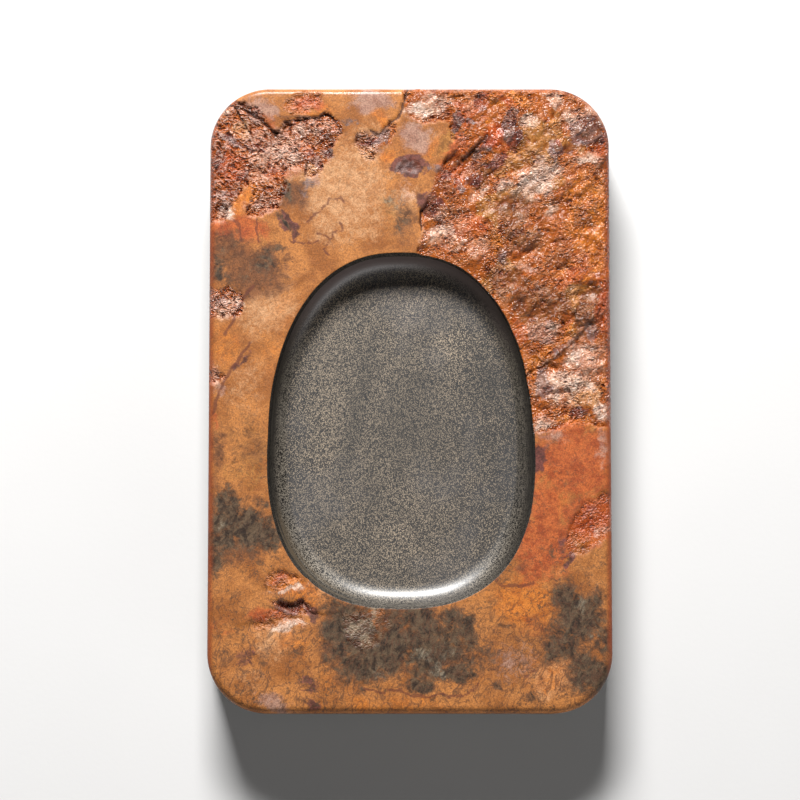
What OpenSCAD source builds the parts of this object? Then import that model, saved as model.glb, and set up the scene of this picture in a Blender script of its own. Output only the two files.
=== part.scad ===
// Inkstone: a rectangular slab of slate-like stone with rounded corners.  Its upper face
// still carries the weathered rind of the rock, worn smooth in some places and spalled
// rough in others, and an egg-shaped grinding well is cut through the rind into the
// dark stone below.  The slab lies on its flat back; +Y points to the pool end.

/* [Slab] */
// Length of the slab, along Y
slab_length = 200; // [190:1:220]
// Width of the slab, along X
slab_width = 128; // [120:1:140]
// Overall thickness of the slab
slab_thickness = 26; // [22:0.5:34]
// Radius of the four corners in plan
corner_radius = 19; // [12:0.5:24]
// Radius of the worn arris round the upper face
arris_radius = 2.4; // [1.6:0.1:2.6]
// Chamfer round the flat back
back_chamfer = 1.2; // [0.6:0.1:2]

/* [Weathered rind] */
// Thickness of the weathered rind under the upper face
rind_thickness = 3; // [2.8:0.1:4]
// Depth of the spalls, where the outer skin of the rind has flaked off
spall_depth = 1.1; // [0.6:0.1:1.5]

/* [Grinding well] */
// Length of the well at its rim
well_length = 113.6; // [100:0.2:118]
// Width of the well at its rim
well_width = 84.6; // [76:0.2:88]
// How much narrower the pool end is than the lower end, as a share of the width
well_taper = 0.1; // [0:0.01:0.15]
// Squareness of the rim: 2 is an ellipse, more is boxier
well_squareness = 2.42; // [2:0.01:2.8]
// How far the well sits to the left of the slab's middle
well_shift_x = -2.7; // [-4:0.1:4]
// How far the well sits towards the lower end
well_shift_y = -10.4; // [-14:0.1:0]
// Depth of the floor at the lower end
well_depth = 8.6; // [8.4:0.1:11]
// How much deeper the floor is at the pool end
floor_fall = 0.9; // [0:0.1:1.5]
// Radius of the cove between wall and floor
cove_radius = 7.6; // [5:0.1:8]
// How far the steep part of the wall leans in above the cove
wall_lean = 0.7; // [0.3:0.1:1.5]

/* [Hidden] */
$fn = 96;

core_top = slab_thickness - rind_thickness;
rim_segments = 96;      // points round the rim of the well
cove_steps = 9;         // rings down the cove
arris_steps = 6;        // flats round the arris
cut_margin = 1;         // how far a cutter stands above the face

core_colour = "dimgray";
rind_colour = "peru";

// Outlines of the spalls, drawn on a slab of this size and stretched with it
drawn_size = [128, 200];
SPALLS = [
    // pool end, left corner
    [[-70, 94], [-58, 97], [-54, 95.2], [-49, 93.4], [-46, 91], [-43.5, 86.8], [-41, 86],
     [-39.5, 89.8], [-30, 90.6], [-26.3, 92], [-22, 86], [-25, 80.5], [-27.5, 72],
     [-33.5, 71.2], [-38.5, 73], [-41.5, 63], [-52, 57.5], [-50.5, 68.5], [-55.5, 63],
     [-61, 56], [-70, 58]],
    // pool end, the V below the loose plate
    [[-18, 82], [-16.5, 86.5], [-10, 84.2], [-7, 89], [-4, 89.5], [-5.5, 81.5], [-9, 80],
     [-12, 75.5], [-16, 79.5]],
    // pool end and right side, the broad spall
    [[-1, 105], [-2, 93], [3, 88.6], [12, 88.5], [12.5, 83], [14.5, 80], [9.5, 74],
     [7, 68], [3.8, 60], [3.5, 48], [20, 30], [35, 0], [37, -12], [46, -10], [53, -9],
     [70, -8.5], [70, 105]],
    // left edge, beside the well
    [[-70, 27], [-70, 35], [-58, 35], [-53.5, 33.5], [-53.3, 29.5], [-55, 26], [-60, 25.5]],
    // lower left, the narrow pit
    [[-45, -65], [-38, -64.6], [-33, -64.9], [-30, -67.5], [-33, -74], [-42, -74],
     [-50, -73.5], [-51, -71]],
    // right edge, below the broad spall
    [[70, -30], [60, -31], [54.5, -34], [50, -43], [49.8, -50], [57, -48], [62, -44],
     [70, -42]]
];

function signed_power(v, p) = sign(v) * pow(abs(v), p);

// One point of the egg-shaped outline, drawn in by inset from the rim, at angle a
function egg_point(a, inset) =
    let (across = well_width / 2 - inset, along = well_length / 2 - inset)
    [well_shift_x + across * (1 - well_taper * sin(a)) * signed_power(cos(a), 2 / well_squareness),
     well_shift_y + along * signed_power(sin(a), 2 / well_squareness)];

// Depth of the well's floor below the face, which falls towards the pool end
function floor_depth(y) =
    well_depth + floor_fall * (y - well_shift_y + well_length / 2) / well_length;

// Each ring of the well is [inset from the rim, share of the wall, share of the cove]
RINGS = concat(
    [[0, 0, 0], [wall_lean, 1, 0]],
    [for (i = [1 : cove_steps])
        let (t = 90 * i / cove_steps)
        [wall_lean + cove_radius * (1 - cos(t)), 1, sin(t)]]);

// Height of a ring at y: the wall is what the cove leaves of the depth there
function ring_height(ring, y) =
    let (wall = floor_depth(y) - cove_radius)
    slab_thickness - wall * ring[1] - cove_radius * ring[2];

function ring_points(ring) =
    [for (i = [0 : rim_segments - 1])
        let (p = egg_point(360 * i / rim_segments, ring[0]))
        [p[0], p[1], ring_height(ring, p[1])]];

// The space that the well takes out of the slab, as one closed shell
module well_space() {
    rings = len(RINGS);
    lid = [for (p = ring_points(RINGS[0])) [p[0], p[1], slab_thickness + cut_margin]];
    points = concat(
        lid,
        [for (ring = RINGS) each ring_points(ring)],
        [[well_shift_x, well_shift_y, slab_thickness + cut_margin],
         [well_shift_x, well_shift_y, slab_thickness - floor_depth(well_shift_y)]]);
    lid_middle = len(points) - 2;
    floor_middle = len(points) - 1;
    last = rings * rim_segments;
    faces = concat(
        [for (i = [0 : rim_segments - 1])
            let (j = (i + 1) % rim_segments)
            [lid_middle, j, i]],
        [for (r = [0 : rings - 1], i = [0 : rim_segments - 1])
            let (j = (i + 1) % rim_segments, a = r * rim_segments, b = a + rim_segments)
            each [[a + i, a + j, b + j], [a + i, b + j, b + i]]],
        [for (i = [0 : rim_segments - 1])
            let (j = (i + 1) % rim_segments)
            [floor_middle, last + i, last + j]]);
    polyhedron(points, faces);
}

// Edge of the dark stone, from its lowest point up: the chamfer at the back and the plain
// side.  reach is how far the edge stands from the middle of the plate or of a corner.
core_edge = function (reach)
    [[reach - back_chamfer, 0], [reach, back_chamfer], [reach, core_top]];

// Edge of the rind, from its lowest point up, with the worn arris at the face
rind_edge = function (reach)
    concat(
        [[reach, core_top]],
        [for (i = [0 : arris_steps])
            let (a = 90 * i / arris_steps)
            [reach - arris_radius * (1 - cos(a)), slab_thickness - arris_radius * (1 - sin(a))]]);

// A plate with round corners in plan: the edge profile is swept round the corners and
// run straight between them
module cornered_plate(edge) {
    straight_x = slab_width / 2 - corner_radius;
    straight_y = slab_length / 2 - corner_radius;
    for (x = [-1, 1], y = [-1, 1])
        translate([x * straight_x, y * straight_y, 0])
            rotate_extrude()
                corner_section(edge(corner_radius));
    rotate([90, 0, 0])
        linear_extrude(2 * straight_y, center = true)
            whole_section(edge(slab_width / 2));
    rotate([90, 0, 90])
        linear_extrude(2 * straight_x, center = true)
            whole_section(edge(slab_length / 2));
}

// The section from a corner's axis out to its edge
module corner_section(side) {
    bottom = side[0][1];
    top = side[len(side) - 1][1];
    polygon(concat([[0, bottom]], side, [[0, top]]));
}

// The section from one edge of the plate to the other
module whole_section(side) {
    last = len(side) - 1;
    polygon(concat(side, [for (i = [0 : last]) [-side[last - i][0], side[last - i][1]]]));
}

module spall_cuts() {
    for (outline = SPALLS)
        translate([0, 0, slab_thickness - spall_depth])
            linear_extrude(spall_depth + cut_margin)
                polygon([for (p = outline)
                    [p[0] * slab_width / drawn_size[0], p[1] * slab_length / drawn_size[1]]]);
}

// The dark fine-grained stone, with the floor, the cove and the wall of the well
module stone_core() {
    color(core_colour)
        difference() {
            cornered_plate(core_edge);
            well_space();
        }
}

// The iron-stained rind that the rock's surface has weathered to
module weathered_rind() {
    color(rind_colour)
        difference() {
            cornered_plate(rind_edge);
            well_space();
            spall_cuts();
        }
}

stone_core();
weathered_rind();
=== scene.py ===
"""Inkstone: the looks of a slab of slate-like stone with a weathered, iron-stained face.

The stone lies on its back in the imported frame: +Y points to the pool end of the well and
+Z out of the carved face.  Sizes in this script are millimetres until a mesh is made.
Two pieces stand for the two CAD nodes and meet face to face, as the nodes do:
    rind   the weathered face, with its spalls, cracks, pits, worn arris and stains
    core   the dark stone: well, sides, chamfered back
"""

import functools
import math

import bpy
import numpy as np
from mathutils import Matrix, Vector


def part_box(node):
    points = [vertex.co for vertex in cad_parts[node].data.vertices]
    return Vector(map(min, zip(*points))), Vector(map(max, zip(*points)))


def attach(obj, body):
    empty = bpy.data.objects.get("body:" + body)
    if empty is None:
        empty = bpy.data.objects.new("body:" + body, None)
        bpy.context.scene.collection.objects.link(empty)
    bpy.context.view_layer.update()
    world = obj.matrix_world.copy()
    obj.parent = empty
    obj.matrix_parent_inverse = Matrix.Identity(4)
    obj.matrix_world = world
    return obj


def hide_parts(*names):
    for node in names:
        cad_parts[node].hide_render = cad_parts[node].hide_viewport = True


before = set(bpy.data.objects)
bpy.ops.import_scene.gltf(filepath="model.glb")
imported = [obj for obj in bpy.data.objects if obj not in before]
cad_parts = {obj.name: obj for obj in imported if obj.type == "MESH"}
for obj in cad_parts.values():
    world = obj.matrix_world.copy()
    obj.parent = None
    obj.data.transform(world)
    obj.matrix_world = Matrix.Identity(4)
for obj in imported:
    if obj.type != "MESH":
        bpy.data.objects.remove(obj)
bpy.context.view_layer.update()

MM = 0.001

# ---------------- sizes of the stone
core_low, core_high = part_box("stone_core")
rind_low, rind_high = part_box("weathered_rind")
LENGTH = (core_high.y - core_low.y) / MM
WIDTH = (core_high.x - core_low.x) / MM
SEAM = rind_low.z / MM  # where the rind lies on the dark stone
FACE = rind_high.z / MM  # the carved face
RIND = FACE - SEAM
CORNER = 19.0  # radius of the corners in plan
ARRIS = 2.4  # radius of the worn arris
CHAMFER = 1.2  # chamfer round the back

WELL_X, WELL_Y = -2.7, -10.4  # middle of the well
WELL_HALF_WIDTH = 42.3
WELL_HALF_LENGTH = 56.8
WELL_TAPER = 0.1
WELL_POWER = 2 / 2.42
WELL_DEPTH = 8.6  # at the lower end
FLOOR_FALL = 0.9
COVE = 7.6
LEAN = 0.7
RIM_BEVEL = 0.35  # the soft edge where the face turns into the well
ROLL_DEPTH, ROLL_WIDTH = 0.30, 5.5  # how the worn face falls away next to the arris

COLUMNS = 864  # vertices round the slab
FACE_ROWS = 96  # rows of vertices from the rim of the well to the arris
ARRIS_ROWS = 8
WALL_ROWS = 5  # up the rind's wall of the well
COVE_ROWS = 20  # from the seam down to the floor of the well
SIDE_ROWS = 24  # from the seam down to the chamfer
HERE = np.arange(COLUMNS)
NEXT = (HERE + 1) % COLUMNS  # the column after each one, round the slab


# ---------------- noise
PERIOD = 256


@functools.lru_cache(maxsize=None)
def random_table(seed):
    """Random numbers on a repeating square grid, four to a point."""
    return np.random.default_rng(seed).random((PERIOD, PERIOD, 4))


@functools.lru_cache(maxsize=None)
def slope_tables(seed):
    """Random slopes of unit steepness on the same grid."""
    turn = 2 * math.pi * random_table(seed)[..., 0]
    return np.cos(turn), np.sin(turn)


def smoothstep(low, high, value):
    t = np.clip((value - low) / (high - low), 0, 1)
    return t * t * (3 - 2 * t)


def gradient_noise(x, y, seed):
    """Smooth noise, about -1 to 1, with features one unit across."""
    slope_x, slope_y = slope_tables(seed)
    ix, iy = np.floor(x).astype(int), np.floor(y).astype(int)
    fx, fy = x - ix, y - iy

    def corner(dx, dy):
        at = (ix + dx) % PERIOD, (iy + dy) % PERIOD
        return slope_x[at] * (fx - dx) + slope_y[at] * (fy - dy)

    u, v = fx ** 3 * (fx * (fx * 6 - 15) + 10), fy ** 3 * (fy * (fy * 6 - 15) + 10)
    low = corner(0, 0) * (1 - u) + corner(1, 0) * u
    high = corner(0, 1) * (1 - u) + corner(1, 1) * u
    return 1.5 * (low * (1 - v) + high * v)


def layered_noise(x, y, size, seed, layers=4, gain=0.5):
    """Gradient noise with its largest features `size` mm across and finer ones on top."""
    total, strength = 0.0, 1.0
    for layer in range(layers):
        step = 2 ** layer / size
        total = total + strength * gradient_noise(x * step, y * step, seed + layer)
        strength *= gain
    return total


def turned(x, y, degrees=0.0, stretch=1.0):
    """Coordinates along and across a direction; stretch lengthens features along it."""
    c, s = math.cos(math.radians(degrees)), math.sin(math.radians(degrees))
    return (x * c + y * s) / stretch, y * c - x * s


def scoops(x, y, size, seed, tilt=0.7):
    """Shallow overlapping scoops with sharp ridges between them, as flaking leaves behind."""
    table = random_table(seed)
    gx, gy = x / size, y / size
    ix, iy = np.floor(gx).astype(int), np.floor(gy).astype(int)
    lowest = np.full(np.shape(x), 9.0)
    for dx in (-1, 0, 1):
        for dy in (-1, 0, 1):
            r = table[(ix + dx) % PERIOD, (iy + dy) % PERIOD]
            px = ix + dx + r[..., 0] - gx
            py = iy + dy + r[..., 1] - gy
            slope = tilt * ((r[..., 2] - 0.5) * px + (r[..., 3] - 0.5) * py)
            lowest = np.minimum(lowest, px ** 2 + py ** 2 + slope)
    return lowest


# ---------------- distances in the plan
def segment_distance(x, y, ax, ay, ex, ey):
    """Distance from the segment that starts at (ax, ay) and runs on by (ex, ey)."""
    t = np.clip(((x - ax) * ex + (y - ay) * ey) / (ex * ex + ey * ey), 0, 1)
    return np.hypot(x - ax - t * ex, y - ay - t * ey)


def inside_distance(x, y, outline):
    """How far inside a closed outline each point is; negative outside it."""
    nearest = np.full(np.shape(x), 1e9)
    inside = np.zeros(np.shape(x), bool)
    for (ax, ay), (bx, by) in zip(outline, outline[1:] + outline[:1]):
        ex, ey = bx - ax, by - ay
        nearest = np.minimum(nearest, segment_distance(x, y, ax, ay, ex, ey))
        if ay != by:
            crosses = (ay > y) != (by > y)
            inside ^= crosses & (x < ax + (y - ay) * ex / ey)
    return np.where(inside, nearest, -nearest)


def line_distance(x, y, points):
    """Distance from an open line, signed: positive on the left of its direction."""
    nearest = np.full(np.shape(x), 1e9)
    side = np.ones(np.shape(x))
    for (ax, ay), (bx, by) in zip(points, points[1:]):
        ex, ey = bx - ax, by - ay
        away = segment_distance(x, y, ax, ay, ex, ey)
        closer = away < nearest
        side = np.where(closer, np.sign(ex * (y - ay) - ey * (x - ax)), side)
        nearest = np.where(closer, away, nearest)
    return nearest * side


def beyond_corner(px, py):
    """How far a point is from the axis of a corner, where px and py are measured from that
    axis; beside the corners it is the distance across the straight edge."""
    return np.hypot(np.maximum(px, 0), np.maximum(py, 0)) + np.minimum(np.maximum(px, py), 0)


def spots(x, y, ellipses):
    """The strength of an ellipse well inside it, fading to 0 well outside, for the strongest
    of the ellipses at each point."""
    total = np.zeros(np.shape(x))
    for cx, cy, long, short, strength, *turn in ellipses:
        u, v = turned(x - cx, y - cy, *turn)
        total = np.maximum(total, strength / 100 * np.clip(1.5 - np.hypot(u / long, v / short), 0, 1))
    return total


# ---------------- natural features of the face
# Spalls: (outline, depth, how rough the floor is, direction of its streaks in degrees)
SPALLS = [
    # pool end, left corner
    ([(-70, 90), (-63, 94), (-57, 96), (-54, 95.2), (-49, 93.4), (-46, 91), (-43.5, 86.8), (-41, 86),
      (-40, 89.6), (-35, 90.2), (-30, 90.6), (-26.3, 92), (-23, 89), (-21.8, 85.5), (-23, 82.5),
      (-25, 80.5), (-25, 76.8), (-27.5, 75.5), (-27.5, 72), (-29.5, 70.8), (-33.5, 71.2), (-35, 74),
      (-38.5, 73), (-40, 70.5), (-39, 67), (-41.5, 64), (-42, 61), (-46, 60), (-47, 58), (-52, 57.5),
      (-52, 61), (-50, 65), (-50.5, 68.5), (-53, 67), (-55.5, 63), (-58, 58.5), (-61, 56),
      (-70, 58)], 0.85, 1.0, -14),
    # pool end and right side, the broad spall
    ([(-1, 105), (-2, 93), (0, 90), (4, 88.5), (8, 88), (12, 88.5), (13, 85), (12.5, 83), (14.5, 82),
      (14, 78.5), (11, 76.5), (9.5, 74), (8, 71), (7, 68), (6, 65), (5, 61.5), (3.8, 60), (3.8, 54),
      (4.5, 51.5), (3.5, 48), (3, 40), (30, 0), (36, -12), (42, -11.5), (46, -10), (50, -8.5), (53, -9.5),
      (57, -8), (60, -9.5), (70, -8.5), (70, 105)], 0.8, 1.0, 38),
    # pool end, the V below the loose plate
    ([(-18, 82), (-16.5, 86.5), (-10, 84.2), (-7, 89), (-4, 89.5), (-5.5, 81.5), (-9, 80), (-11, 76),
      (-14, 76), (-16, 79.5)], 0.7, 0.8, 20),
    # pool end, the dark spot above the well
    ([(-4.5, 73), (-3, 76), (1, 77), (4, 75.5), (4.5, 73), (1, 71.5), (-3, 71.5)], 0.25, 0.35, 10),
    # left edge, beside the well
    ([(-70, 26), (-70, 35), (-58, 35), (-53.5, 33.5), (-53.3, 29.5), (-55, 26),
      (-60, 25.5)], 0.6, 1.0, 15),
    # left edge, the small one below it
    ([(-70, 4), (-70, 10), (-61, 9), (-59, 6), (-61, 4)], 0.45, 0.8, 15),
    # lower left, the narrow flake
    ([(-46, -60.3), (-44.5, -56), (-42, -55.3), (-36, -56), (-33.5, -57), (-39, -58.5),
      (-40, -60.5)], 0.45, 0.4, 10),
    # lower left, the pit
    ([(-45, -65), (-38, -64.6), (-33, -64.9), (-30, -67.5), (-32, -70), (-36, -69),
      (-40, -67.3)], 0.95, 0.7, 10),
    # lower left, the slope below the pit
    ([(-44, -67), (-39, -67.5), (-33, -70), (-32, -73.5), (-36, -71.5), (-41, -73), (-50, -74),
      (-50, -71)], 0.35, 0.3, 10),
    # right edge, below the broad spall
    ([(70, -30), (60, -31), (58, -33), (54.5, -34), (53, -38), (50, -43), (49.8, -50), (55, -50),
      (60, -46.5), (64, -42.5), (70, -42)], 0.55, 0.6, 35),
    # pool end, the oval at the edge
    ([(-41.5, 93), (-40, 96.5), (-34, 98.8), (-28, 98.3), (-28, 95), (-33, 92),
      (-38, 91.2)], 0.18, 0.55, 15),
    # lower end, a patch of the black crust
    ([(-22, -69), (-16, -68), (-8, -66.5), (-6, -72), (-9, -79), (-15, -81), (-20, -77)], 0.1, 0.3, 80),
]

# Ledges: (line, drop, how far the drop fades out), lower on the left of the line's direction
LEDGES = [
    ([(25.5, 85), (22, 81.5), (17, 76.5)], 0.8, 4),
    ([(33.5, 49.5), (30.5, 53), (26, 55.5)], 0.5, 6),
    ([(31, 46.5), (27, 42.5), (24, 37.5)], 0.55, 5),
    ([(57, 24), (53, 19.5), (47, 13.5), (38, 8)], 0.9, 6),
    ([(42, 8), (41.5, 4), (40.8, 0)], -0.5, 3),
    ([(36.5, 57), (31, 55), (26, 55.5)], -0.35, 5),
    ([(44, 74), (38, 72.5), (31, 72)], -0.5, 6),
    ([(47, 93), (43, 90), (37, 87), (35, 84)], -0.45, 6),
    ([(45, 67), (41, 63), (40, 60)], 0.4, 4),
    ([(60, 83), (55, 80), (51, 76)], 0.5, 5),
    ([(52, 98), (49, 93), (45, 90)], 0.45, 5),
    ([(22, 66), (26, 68.5), (31, 70)], 0.4, 4),
    ([(63, 35), (57, 33), (52, 34), (45, 31)], 0.4, 6),
    ([(48, 24), (43, 21), (38, 17)], 0.45, 5),
    ([(63, 8), (56, 6), (49, 4)], -0.4, 5),
    ([(-28, 73), (-30, 76.5), (-32.5, 79.5)], -0.6, 3),
    ([(-46, 84), (-50, 88), (-54, 91.5)], 0.45, 3),
    ([(-52, 76.5), (-51.5, 73), (-53, 70)], 0.5, 3),
    ([(-31, -68.3), (-37, -69), (-44, -70), (-50, -71.8)], 1.0, 3.2),
    ([(-33, -57.3), (-39, -59.2), (-45.5, -60.8)], 0.7, 1.5),
]

# Cracks: (line, half-width, depth)
CRACKS = [
    ([(-0.6, 100), (-1.6, 96), (-2.5, 93), (-4, 90), (-7.5, 87.5), (-10, 84.2), (-12.5, 86)],
     0.45, 0.5),
    ([(3.6, 60.4), (3.4, 57), (3.7, 53.8)], 0.4, 0.5),
    ([(17, 76.5), (21, 80.5), (25, 84.7)], 0.5, 0.6),
    ([(-57, 95.5), (-54, 90), (-51, 85)], 0.3, 0.35),
    # the next two run along the upper edge of the corner spall; their dark colour is mostly painted shadow
    # under its ledge
    ([(-58, 94.6), (-53, 92.8), (-48, 90), (-44.5, 86.5), (-42.5, 85.4)], 0.45, 0.4),
    ([(-42, 86), (-40.5, 88.8), (-35, 89.8), (-30, 90.2), (-26.3, 91.4), (-23.3, 88.4), (-22, 85.5)],
     0.35, 0.35),
    ([(-33, 75.2), (-33.6, 71.3)], 0.35, 0.4),
    ([(41, 53.8), (42.5, 54.2), (44.5, 53.4)], 0.3, 0.5),
    ([(55, 57.5), (58, 54.8)], 0.2, 0.3),
    ([(46.5, -55.5), (49, -53), (52, -51)], 0.5, 0.12),
    ([(-29.2, -58.5), (-29.1, -64), (-29.3, -70)], 0.12, 0.12),
    ([(46, 37.5), (49, 37.8)], 0.25, 0.3),
    ([(49.5, 85.5), (52.5, 86.3)], 0.3, 0.4),
]

# Thin veins that only colour the stone: (line, half-width)
VEINS = [
    ([(-14, -92.3), (-9, -93.4), (-3, -92.5), (0, -94.3), (5, -94.9), (10, -93.8), (12, -94.9),
      (16, -94.5), (20, -92.6), (22, -90.6)], 0.35),
    ([(-33, 56), (-30.5, 58.5), (-28, 60.5), (-25.5, 63.5), (-22, 64.3), (-20.8, 62.5)], 0.25),
    ([(-29.5, 52.5), (-27, 52), (-25.5, 50.5), (-24.3, 53), (-21.5, 53.5), (-22, 56)], 0.25),
    ([(-26, 50), (-27.5, 47.5), (-26, 46)], 0.25),
    ([(26.5, -57.5), (29, -60), (33, -59.8), (36, -60), (39, -58.8)], 0.3),
    ([(-49, 57), (-48.7, 53), (-48.3, 50)], 0.3),
    ([(-56, 57), (-54, 54), (-54, 50)], 0.3),
    ([(-38, 49.8), (-33, 49.4), (-29, 50)], 0.25),
    ([(36.5, -88.5), (38.5, -87), (40.5, -86.5)], 0.25),
    ([(-51, 17.5), (-54, 12.5), (-58, 7), (-61, 1), (-62.5, -5)], 0.45),
    ([(-49.5, 36), (-53, 32), (-56, 25), (-59, 20)], 0.4),
]

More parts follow.
